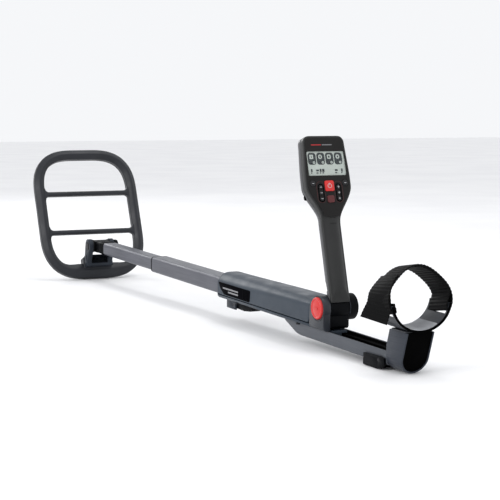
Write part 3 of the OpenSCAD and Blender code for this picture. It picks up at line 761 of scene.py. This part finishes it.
def build_body():
    bm = bmesh.new()
    x0, x1 = COVER_LOW.x, COVER_HIGH.x
    seam = COVER_LOW.z + 0.5
    rings = [cover_ring(x0, seam, -0.4), cover_ring(x0 + 0.4, seam)]
    rings += [cover_ring(x0 + (x1 - TAIL - x0) * i / 24, seam) for i in range(1, 25)]
    for i in range(1, 9):
        a = radians(90 * i / 9)
        rings.append(cover_ring(x1 - TAIL + 6.6 * sin(a), seam + TAIL * (1 - cos(a))))
    rings.append(cover_ring(x1, seam + TAIL + 0.5, -0.4))
    loft(bm, rings)
    bm = carved(bm, fold_recess())
    piece("cover_moulding", bm, SHAFT, "main_body", "slate", ("body_cover",), 30)

    softened_node("body_belly", "slate", 0.35)
    build_nose()
    softened_node("hinge_housing", "housing", 0.7)
    softened_node("cam_bracket", "ring", 0.5)
    softened_node("cam_clamp_pad", "rubber", 0.4)
    softened_node("cam_lever", "dark", 0.6)
    build_pivot_cap()
    build_badges()
    build_button()


def build_pivot_cap():
    """Domed cap that sleeves the far hinge barrel."""
    low, high = extent("pivot_cap", SHAFT)
    cx, cz, top = (low.x + high.x) / 2, (low.z + high.z) / 2, high.y
    profile = [
        (0, top - 14.8), (17.4, top - 14.8), (17.4, top - 4.6), (17.2, top - 3.9),
        (16.6, top - 3.3), (15.6, top - 3.1), (15.2, top - 2.4), (13.6, top - 1.5),
        (11.5, top - 0.8), (9, top - 0.4), (4, top - 0.1), (0, top),
    ]
    bm = bmesh.new()
    lathe(bm, profile, lambda u, v, h: (cx + u, h, cz + v))
    piece("hinge_cap", bm, SHAFT, "main_body", "dark", ("pivot_cap",), 50)


def on_side(bm, side, outline, under, over, edge, steps=3):
    """A plate on one side of the body, between two heights over its skin."""
    low, high = sorted(side * BODY_HALF + side * height for height in (under, over))
    slab(bm, outline, low, high, plane_y, edge, steps)


def build_badges():
    """Plain badge with five ridges and two printed bars on each side of the body."""
    outline = eased([(590, 0), (604, -8), (690, -8), (692, 9), (584, 9)], 3)
    badge = bmesh.new()
    stripes = bmesh.new()
    for side in (-1, 1):
        on_side(badge, side, outline, -0.6, 0.25, 0.25)
        for ridge in range(5):
            x = 669.2 + 4.6 * ridge
            on_side(badge, side, stadium(x, 0.5, 1.2, 7.3, 1.1, 4)[::-1], 0.2, 0.85, 0.4)
        for x0, x1, z0 in ((600, 652, 1.6), (618, 652, -2.8)):
            bar = stadium((x0 + x1) / 2, z0, (x1 - x0) / 2, 1.1, 0.9, 4)[::-1]
            on_side(stripes, side, bar, 0.2, 0.34, 0.05, 1)
    piece("badges", badge, SHAFT, "main_body", "badge", ("side_badges",))
    piece("badge_stripes", stripes, SHAFT, "main_body", "grey_mark")


def build_button():
    """Ringed release button and the wire spring behind it."""
    low, high = extent("release_button", SHAFT)
    centre = ((low.x + high.x) / 2, (low.z + high.z) / 2)
    r = (high.x - low.x) / 2 - 0.1
    profile = [
        (0, 0), (r, 0), (r, 5.5), (r - 0.25, 6.2), (r - 0.8, 6.75), (r - 1.6, 6.95),
        (r - 2.4, 6.75), (r - 2.9, 6.2), (r - 3.4, 6.0), (r - 4.2, 6.2), (8, 6.9), (4, 7.3),
        (1, 7.4), (0, 7.4),
    ]
    bm = bmesh.new()
    lathe(bm, profile, lambda u, v, h: (centre[0] + u, high.y - h, centre[1] + v), 72)
    bar = [(centre[0] + x, centre[1] + z) for x, z in stadium(0, 0, 5, 1.2, 1.1, 5)]
    slab(bm, bar[::-1], high.y - 8.0, high.y - 6.8, plane_y, 0.4)
    piece(
        "button_cap", bm, SHAFT, body_of("release_button"), "red",
        ("release_button",), 40,
    )

    low, high = extent("button_spring", SHAFT)
    turns, per_turn, radius, wire = 3, 24, 7.5, 0.33
    rings = []
    for i in range(turns * per_turn + 1):
        a = 2 * pi * i / per_turn
        y = low.y + wire + (high.y - low.y - 2 * wire) * i / (turns * per_turn)
        ring = []
        for u, v in arc(radius, 0, wire, 0, 360, 6)[:-1]:
            ring.append((centre[0] + u * cos(a), y + v, centre[1] + u * sin(a)))
        rings.append(ring)
    bm = bmesh.new()
    loft(bm, rings)
    spring = piece(
        "button_coil", bm, SHAFT, body_of("button_spring"), "steel", ("button_spring",), 80
    )
    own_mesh(spring)


# ---- handle ----

HANDLE_TOP = extent("handle_rear_shell", HANDLE)[1].z
FACE = extent("pod_face", HANDLE)[1].x
SHELL_FACE = FACE - 1
PARTING = 15.5
GRIP_CENTRE = 12
GRIP_HALF = 14
POD_HALF = 33.5
POD_CORNER = 9
KNUCKLE = 16.7
CREST = 14


def half_at(w):
    """Half width of the neck and pod at a distance from the pivot."""
    wide = GRIP_HALF + (POD_HALF - GRIP_HALF) * smooth((w - 112) / 45)
    return wide - 3 * smooth((w - 164) / (HANDLE_TOP - 164))


def half_width(w):
    """Half width with the two top corners rounded."""
    over = w - (HANDLE_TOP - POD_CORNER)
    if over <= 0:
        return half_at(w)
    return half_at(w) - POD_CORNER + sqrt(max(0.0, POD_CORNER * POD_CORNER - over * over))


def corner_stops():
    """Distances from the pivot through the rounded top corners."""
    base = HANDLE_TOP - POD_CORNER
    return [base + POD_CORNER * sin(radians(a)) for a in range(0, 91, 6)]


def handle_stops(start):
    """Distances from the pivot at which the shells are sectioned, closer near the top."""
    stops = [start, start + 0.6]
    w = start + 4
    while w < HANDLE_TOP - 10:
        stops.append(w)
        w += 2.5
    return stops + corner_stops()


def rim_shrink(w, edge=1.2):
    """How far a section near the top draws in to round the rim over."""
    over = w - (HANDLE_TOP - edge)
    return 0.0 if over <= 0 else edge - sqrt(max(0.0, edge * edge - over * over))


def rear_section(w, start):
    """Section of the dark rear shell: a crowned grip that turns into the flat pod.
    Its point number CREST is the middle of the crown."""
    shrink = rim_shrink(w) + max(0.0, 0.6 - (w - start))
    half = half_width(w) - shrink
    flat = smooth((w - 104) / 30)
    crest = 24 + (SHELL_FACE - 24) * flat - shrink
    edge = 19.6 + (SHELL_FACE - 19.6) * flat - shrink
    r = 2.6 - 1.4 * flat
    rows = [(PARTING + 0.25, -half + 0.2), (PARTING + 0.5, -half), (edge - r, -half)]
    for i in range(1, 6):
        a = radians(90 * i / 6)
        rows.append((edge - r + r * sin(a), -half + r - r * cos(a)))
    for i in range(13):
        y = -1 + 2 * i / 12
        rows.append((edge + (crest - edge) * (1 - y * y), y * (half - r)))
    left = [(x, -y) for x, y in reversed(rows[:8])]
    return rows + left


def front_section(w, start):
    """Section of the pale front shell: half round at the grip, a shallow tray at the pod."""
    shrink = rim_shrink(w, 2.5) + max(0.0, 0.6 - (w - start))
    half = half_width(w) - shrink
    tray = smooth((w - 108) / 24)
    rows = []
    r = 8.5
    for i in range(25):
        a = radians(-90 + 7.5 * i)
        grip = (GRIP_CENTRE - (13 - shrink) * cos(a), half * sin(a))
        t = abs(i - 12) / 12
        if t > 0.55:
            b = radians(90 * (t - 0.55) / 0.45)
            pod = (3 + shrink + r * (1 - cos(b)), half - r + r * sin(b))
        else:
            pod = (3 + shrink, (half - r) * t / 0.55)
        pod = (pod[0], pod[1] if i > 12 else -pod[1])
        rows.append(tuple(g + (q - g) * tray for g, q in zip(grip, pod)))
    first = [(PARTING - 0.25, -half + 0.2), (PARTING - 0.5, -half)]
    return first + rows + [(x, -y) for x, y in reversed(first)]


def pod_outline(cut, low):
    """Outline of the pod seen square to its face."""
    stops = [low + (HANDLE_TOP - POD_CORNER - low) * i / 30 for i in range(30)]
    stops += corner_stops()
    right = [(half_width(w), w) for w in stops]
    left = [(-y, w) for y, w in reversed(right)]
    return inset(right + left, cut)


# Middle across and up, half width, half height and corner radius of each key's hole.
KEY_HOLES = [
    (0, 156.5, 6.75, 7, 2.5), (0, 139, 5, 4.75, 2), (-24, 160, 4, 4, 3.99), (24, 160, 4, 4, 3.99),
]
KEY_HOLES += [(y, 139.5 + 7.7 * row, 2.9, 2.9, 2.89) for y in (-13, 13) for row in range(3)]


def build_handle():
    bm = bmesh.new()
    loft(bm, [plane_z(w, rear_section(w, 4)) for w in handle_stops(4)])
    opening = bmesh.new()
    slab(opening, pod_outline(4.2, 124), 18, 40, plane_x, 0.5)
    bm = carved(bm, opening, behind_base(), knuckle_space())
    piece("handle_back", bm, HANDLE, "handle", "grip_dark", ("handle_rear_shell",), 40)

    bm = bmesh.new()
    loft(bm, [plane_z(w, front_section(w, 6)) for w in handle_stops(6)])
    jack = rod(4.2, 0, 30, lambda u, v, h: (8 + u, -8 - h, 145 + v))
    slots = [box((-3, -8, w), (6, 8, w + 1.8), 0.5) for w in (124, 128, 132, 136)]
    track = box((-8, -22, 121.4), (3, 22, 170), 0.4)
    bm = carved(bm, jack, knuckle_space(), fold_space(), track, *slots)
    piece(
        "handle_front", bm, HANDLE, "handle", "grip_light",
        ("handle_front_shell",), 40,
    )
    bm = bmesh.new()
    for w in (107, 114.5):
        mark(bm, 0, w, 4.6, 0.35, rear_section(w, 4)[CREST][0] - 0.05, 0.2)
    piece("neck_lines", bm, HANDLE, "handle", "face")
    softened_node("handle_base", "dark", 0.6)
    softened_node("headphone_socket", "black", 0.25, HANDLE)
    softened_node("battery_cover", "dark", 0.3, HANDLE)
    build_face()


def knuckle_space():
    """Round space in the shells for the handle's knuckle."""
    return rod(KNUCKLE, -40, 40, across, 64)


def fold_space():
    """Room in the shells for the front of the hinge housing when the handle is folded."""
    low, high = extent("hinge_housing", SHAFT)
    bm = box((low.x - 8, low.y - 4, low.z - 2), (low.x + 5.6, high.y + 4, high.z - 2), 0.3)
    bm.transform(HANDLE.inverted() @ fold_motion(-1) @ SHAFT)
    return bm


def behind_base():
    """Upright cut behind the foot of the handle."""
    pivot = SHAFT.inverted() @ Vector(JOINTS["handle_fold"]["pos_m"])
    bm = box((pivot.x + 16.5, -40, -40), (pivot.x + 60, 40, 43), 0.5)
    bm.transform(HANDLE.inverted() @ SHAFT)
    return bm


LCD_MIDDLE = 186.75
LCD_HALF = 28
LCD_HALF_HIGH = 16.25
KEY_GAP = 0.35


def face_hole(outline):
    """A new mesh that cuts that outline through the face of the pod."""
    bm = bmesh.new()
    slab(bm, outline, SHELL_FACE - 3, FACE + 3, plane_x, 0.1)
    return bm


def build_face():
    """Face of the pod with its key holes, the window and the display behind it."""
    bm = bmesh.new()
    slab(bm, pod_outline(2.5, 113.5), SHELL_FACE + 0.05, FACE, plane_x, 0.4)
    holes = [face_hole(stadium(0, LCD_MIDDLE, LCD_HALF, LCD_HALF_HIGH, 1.5))]
    for y, w, half_wide, half_high, r in KEY_HOLES:
        holes.append(face_hole(stadium(y, w, half_wide + KEY_GAP, half_high + KEY_GAP, r, 8)))
    bm = carved(bm, *holes)
    piece("fascia", bm, HANDLE, "handle", "face", ("pod_face",), 40)

    glass = bmesh.new()
    outline = stadium(0, LCD_MIDDLE, LCD_HALF - 0.15, LCD_HALF_HIGH - 0.15, 1.4)
    slab(glass, outline, SHELL_FACE + 0.1, FACE - 0.2, plane_x, 0.15)
    piece("window_pane", glass, HANDLE, "handle", "window", ("display_window",))

    panel = bmesh.new()
    slab(panel, stadium(0, LCD_MIDDLE, 28.5, 16.7, 1.6), 21, SHELL_FACE - 0.3, plane_x, 0.2)
    piece("lcd_glass", panel, HANDLE, "handle", "lcd", ("display_panel",))
    build_display_marks()
    build_keys()


def mark(bm, y, w, half_wide, half_high, depth, rise=0.08, r=0.3):
    """A thin printed mark on the pod."""
    r = min(r, half_wide * 0.9, half_high * 0.9)
    slab(bm, stadium(y, w, half_wide, half_high, r, 3), depth, depth + rise, plane_x, rise / 2, 1)


def build_display_marks():
    """Four plain pictogram blocks and a row of small segments."""
    dark = bmesh.new()
    light = bmesh.new()
    depth = SHELL_FACE - 0.31
    shapes = ((0.4, 0.5, 0.2), (2.5, 1.0, 0.4), (1.4, 1.3, 1), (2.6, 1.2, 1.1))
    for i, (corner, core_half, core_corner) in enumerate(shapes):
        y = -20.3 + 13.05 * i
        mark(dark, y, 193.2, 6.0, 8.0, depth, r=3.6)
        mark(light, y + 2.6, 188.2, 1.7, 1.7, depth + 0.06, r=1.5)
        mark(light, y - 0.6, 195.8, 2.7, 2.9, depth + 0.06, r=corner)
        mark(dark, y - 0.6, 195.8, core_half, 1.5, depth + 0.12, r=core_corner)
        mark(dark, y + 2.6, 188.2, 0.9, 0.4, depth + 0.12)
    for y, half in ((-22.5, 1.2), (-14, 2.2), (-9.4, 1.4), (-5.4, 1.8), (14, 2.2), (22.5, 1.3)):
        mark(dark, y, 177.6, half, 2.1 if half < 2 else 1.2, depth)
        mark(dark, y - 0.5, 174.2, half * 0.7, 0.8, depth)
    piece("lcd_marks", dark, HANDLE, "handle", "ink")
    piece("lcd_lights", light, HANDLE, "handle", "lcd")

    for name, y, half_wide, slot, tone in (
        ("fascia_line_red", -12.5, 7.5, "red_plastic", "red_mark"),
        ("fascia_line_pale", 3.5, 7.5, "pod_black", "grey_mark"),
    ):
        bm = bmesh.new()
        mark(bm, y, 211.5, half_wide, 0.6, FACE - 0.03, 0.12, 0.5)
        piece(name, bm, HANDLE, "handle", tone)


def outline_ring(bm, outline, width, depth, rise=0.12):
    """A printed line that follows an outline."""
    inner = inset(outline, width)
    rings = [
        plane_x(depth, outline), plane_x(depth + rise, outline),
        plane_x(depth + rise, inner), plane_x(depth, inner),
    ]
    loft(bm, rings, loop=True)


def build_keys():
    """Keys with their printed signs, the lines round the two key columns, and black rings that
    paint the shade of the wells round them.
    """
    keys = [name for name in frame["nodes"] if name.startswith("key_")]
    finishes = {"key_power": ("red_plastic", "red"), "key_pinpoint": ("dim_red", "dim_red")}
    for name in keys:
        slot, tone = finishes.get(name, ("rubber", "key"))
        softened_node(name, tone, 0.45, HANDLE)
        low, high = extent(name, HANDLE)
        y, w, top = (low.y + high.y) / 2, (low.z + high.z) / 2, high.x - 0.02
        bm = bmesh.new()
        if name in finishes:
            outline_ring(bm, stadium(y, w, 3, 3, 2.9, 6), 0.55, top)
            mark(bm, y, w + 2.2, 0.3, 1.6, top + 0.05)
        else:
            mark(bm, y, w, min(1.5, (high.y - low.y) / 4), 0.3, top)
            if name.startswith("key_right"):
                mark(bm, y, w, 0.3, 1.5, top)
        tone = "dim_red" if name == "key_pinpoint" else "white_mark"
        piece(name + "_mark", bm, HANDLE, body_of(name), tone)

    bm = bmesh.new()
    wells = bmesh.new()
    for y in (-13, 13):
        outline_ring(bm, stadium(y, 148.5, 6.2, 14.2, 6, 8), 0.3, FACE - 0.03)
        # Black ring: painted shade of the recessed well round each key column.
        outline_ring(wells, stadium(y, 147.2, 4.3, 12.2, 4.2, 8), 1.2, FACE - 0.03, 0.25)
    piece("column_lines", bm, HANDLE, "handle", "dim_red")
    piece("column_well_shade", wells, HANDLE, "handle", "black")


# ---- armrest ----

CUFF_LOW, CUFF_HIGH = extent("armrest_cuff", SHAFT)
LOOP_HALF = 41.5
LOOP_RISE = 37
LOOP_Z = 50
CUFF_WALL = 2.5
PAD_MIDDLE = CUFF_LOW.x + 23
BAND_STEP = 0.73
STRAP_WIDE = 38
STRAP_THICK = 2.4
STRAP_MIDDLE = (CUFF_LOW.x + CUFF_HIGH.x) / 2
STRAP_LEAN = tan(radians(10))
RIB_PITCH = 4.4


def loop_point(a, out):
    """Point of the forearm loop at an angle from its foot, at a distance outside its line."""
    a = radians(a)
    return ((LOOP_HALF + out) * sin(a), LOOP_Z - (LOOP_RISE + out) * cos(a))


def loop_run(start, step, out, count=57):
    """Points along the forearm loop at even angles."""
    return [loop_point(start + step * i, out) for i in range(count)]


def build_cuff():
    """Cuff with its strap slots and screw holes, its ribbed pad and its rubber edging."""
    bm = bmesh.new()
    outline = loop_run(-84, 3, 0) + loop_run(84, -3, -CUFF_WALL)
    slab(bm, outline, CUFF_LOW.x, CUFF_HIGH.x, plane_x, 0.8, 4)
    holes = []
    for side in (-1, 1):
        y0, y1 = sorted((30 * side, 50 * side))
        holes.append(box((CUFF_LOW.x + 4, y0, 33), (CUFF_HIGH.x - 4, y1, 36.6), 1.2))
        holes.append(rod(3, 14.1, 30, lambda u, v, h: (PAD_MIDDLE + u, 9 * side + v, h)))
    bm = carved(bm, *holes)
    slab(bm, stadium(PAD_MIDDLE, 0, 17, 19, 3), 13.05, 14.6, plane_z, 0.3)
    piece("cuff_moulding", bm, SHAFT, "armrest", "cuff", ("armrest_cuff",), 40)

    bm = bmesh.new()
    back = loop_run(-36, 3, -2.4, 25)
    ribs = []
    for i in range(24, 0, -1):
        a = -36 + 3 * i
        ribs += [loop_point(a - 0.1, -3.0), loop_point(a - 0.5, -3.9)]
        ribs += [loop_point(a - 1.1, -3.9), loop_point(a - 1.5, -3.0)]
    slab(bm, back + ribs, CUFF_LOW.x + 2, CUFF_HIGH.x - 2, plane_x, 0.2, 1)
    piece("cuff_pad", bm, SHAFT, "armrest", "rib", sharp=25)

    bm = bmesh.new()
    lip = loop_run(-84.2, 3.007, 0.25) + loop_run(84.2, -3.007, -2.75)
    slab(bm, lip, CUFF_HIGH.x - 1.4, CUFF_HIGH.x + 0.3, plane_x, 0.4)
    piece("cuff_edging", bm, SHAFT, "armrest", "black")


def band(bm, path, twist=0.0, settle=False):
    """Ribbed webbing along a path of (y, z) points, leaning back as it rises.
    Twist turns the far end about the upright, and a settling end loses the lean."""
    rings = []
    for i, here in enumerate(path):
        way = (path[min(len(path) - 1, i + 1)] - path[max(0, i - 1)]).normalized()
        out = Vector((way.y, -way.x))
        share = smooth(i / (len(path) - 1))
        rib = 0.5 + 0.5 * cos(2 * pi * i * BAND_STEP / RIB_PITCH)
        half = STRAP_THICK * (0.2 + 0.3 * smooth(rib))
        turn = radians(twist) * share
        lean = STRAP_LEAN * (1 - 1.85 * share if settle else 1)
        back = -STRAP_LEAN * (here.y - LOOP_Z) * (1 - share if settle else 1)
        ring = []
        for u, v in rounded_box(STRAP_WIDE / 2, -half, half, half * 0.7, half * 0.7, 3):
            x = STRAP_MIDDLE + back + u * cos(turn)
            y = here.x + out.x * v + u * sin(turn)
            ring.append((x, y, here.y + out.y * v + u * lean))
        rings.append(ring)
    loft(bm, rings)


def arch_out(a):
    """How far the strap lies outside the forearm loop: drawn straight between crown and wings."""
    return 0.8 + 1.6 * cos(radians(4 * (a - 180)))


def build_strap():
    """Strap as one sheet: a run round the arm and a covering run with a loose end.
    Runs are (angle, distance outside the loop), and the wings go through the cuff's slots."""
    wing = [
        (84, -4.1), (69, -4.2), (66, -3.2), (65.2, -1.3), (66, 0.4), (70, 1.8), (78, 2.6),
        (87, 2.8),
    ]
    tail = [(a, arch_out(a) - 2.2 * smooth((196 - a) / 30)) for a in range(180, 93, -6)]
    arch = [(a, arch_out(a)) for a in range(94, 267, 4)]
    inner = tail + wing + arch + [(360 - a, out) for a, out in reversed(wing)]
    cover = [(a, arch_out(a) + 2.5) for a in range(222, 259, 4)] + [(266, 4.1), (274, 4.0)]
    inner = softened([loop_point(*point) for point in inner])
    outer = [loop_point(*point) for point in cover] + [(-47.6, 41), (-50.5, 34), (-53.2, 27)]
    inner = even_path(inner, BAND_STEP)
    outer = even_path(softened(outer), BAND_STEP)
    bm = bmesh.new()
    band(bm, inner)
    band(bm, outer, twist=22, settle=True)
    strap = piece("forearm_strap", bm, SHAFT, "armrest", "webbing", ("arm_strap",), 60)


def build_armrest():
    softened_node("armrest_rail", "rail", 0.35)
    # Rail liner: a near-pure black sheet that paints the deep shade inside the open channel.
    softened_node("rail_liner", "black", 0.3)
    softened_node("armrest_pedestal", "pedestal", 0.4)
    # Pedestal core: near-pure black that paints the deep shade inside the hollow pedestal.
    softened_node("pedestal_core", "black", 0.4)
    softened_node("armrest_lever", "dark", 0.6)
    build_cuff()
    build_strap()


# ---- finishes of the CAD nodes that stay as they are ----

KEPT = {
    "coil_winding": "copper", "lower_shaft_glide": "dark", "middle_shaft_glide": "dark",
    "cam_pin": "black_steel", "pivot_pin": "steel", "body_screws": "black_steel",
    "keypad_mat": "mat", "circuit_board": "board", "speaker": "steel",
    "battery_cells": "cell", "handle_screws": "steel", "lever_pin": "black_steel",
    "armrest_screws": "steel",
}


def finish_kept_nodes():
    for node, material in KEPT.items():
        mesh = frame["nodes"][node].data
        mesh.materials.clear()
        mesh.materials.append(MATERIALS[material])


# ---- studio ----

AIM = (0.1, 0, 0.1)
CAMERA_AT = (2477.64, -900.42, 299.5)
CAMERA_ANGLES = (63.91, 6.64, -0.52)
CAMERA_LENS = 101.46


def area_light(name, at, target, size, power):
    data = bpy.data.lights.new(name, "AREA")
    data.shape = "RECTANGLE"
    data.size = size[0]
    data.size_y = size[1]
    data.energy = power
    obj = bpy.data.objects.new(name, data)
    obj.location = at
    obj.rotation_euler = (Vector(target) - Vector(at)).to_track_quat("-Z", "Y").to_euler()
    bpy.context.scene.collection.objects.link(obj)


def build_studio():
    world = bpy.data.worlds.new("studio")
    world.use_nodes = True
    background = world.node_tree.nodes["Background"]
    background.inputs["Color"].default_value = (0.97, 0.98, 1, 1)
    background.inputs["Strength"].default_value = 0.95
    bpy.context.scene.world = world

    area_light("key", (0.7, -2.3, 1.3), AIM, (1.6, 1.2), 26)
    area_light("top", (0.2, 0.5, 2.3), AIM, (2.6, 0.5), 14)
    area_light("rim", (-2.8, -0.5, 1.15), (0, 0, 0.1), (1.6, 0.5), 14)

    bm = bmesh.new()
    bmesh.ops.create_grid(bm, x_segments=8, y_segments=8, size=14)
    floor = to_object("floor", bm)
    paper = Shader("studio_floor", 0.75)
    tint = paper.mixed(paper.ramp(paper.noise(3, 2), 0, 1), (0.86, 0.86, 0.87), (0.9, 0.9, 0.905))
    floor.data.materials.append(paper.finish(tint, paper.ramp(paper.noise(30, 2), 0.7, 0.8)))


def build_camera():
    """Camera where the reference view was taken from, fitted in the shaft frame."""
    turn, pitch, roll = (radians(a) for a in CAMERA_ANGLES)
    back = Vector((sin(turn) * cos(pitch), -cos(turn) * cos(pitch), sin(pitch)))
    right = Vector((cos(turn), sin(turn), 0))
    up = back.cross(right)
    rolled_right = right * cos(roll) - up * sin(roll)
    rolled_up = right * sin(roll) + up * cos(roll)
    axes = Matrix((rolled_right, rolled_up, back)).transposed()
    data = bpy.data.cameras.new("camera")
    data.sensor_width = 36
    data.lens = CAMERA_LENS
    data.clip_end = 60
    camera = bpy.data.objects.new("camera", data)
    bpy.context.scene.collection.objects.link(camera)
    shaft_turn = SHAFT.to_3x3().normalized()
    place = (shaft_turn @ axes).to_4x4()
    place.translation = SHAFT @ Vector(CAMERA_AT)
    camera.matrix_world = place
    bpy.context.scene.camera = camera


build_coil()
build_shafts()
build_body()
build_handle()
build_armrest()
finish_kept_nodes()
build_studio()
build_camera()
bpy.context.scene.view_settings.view_transform = "Standard"
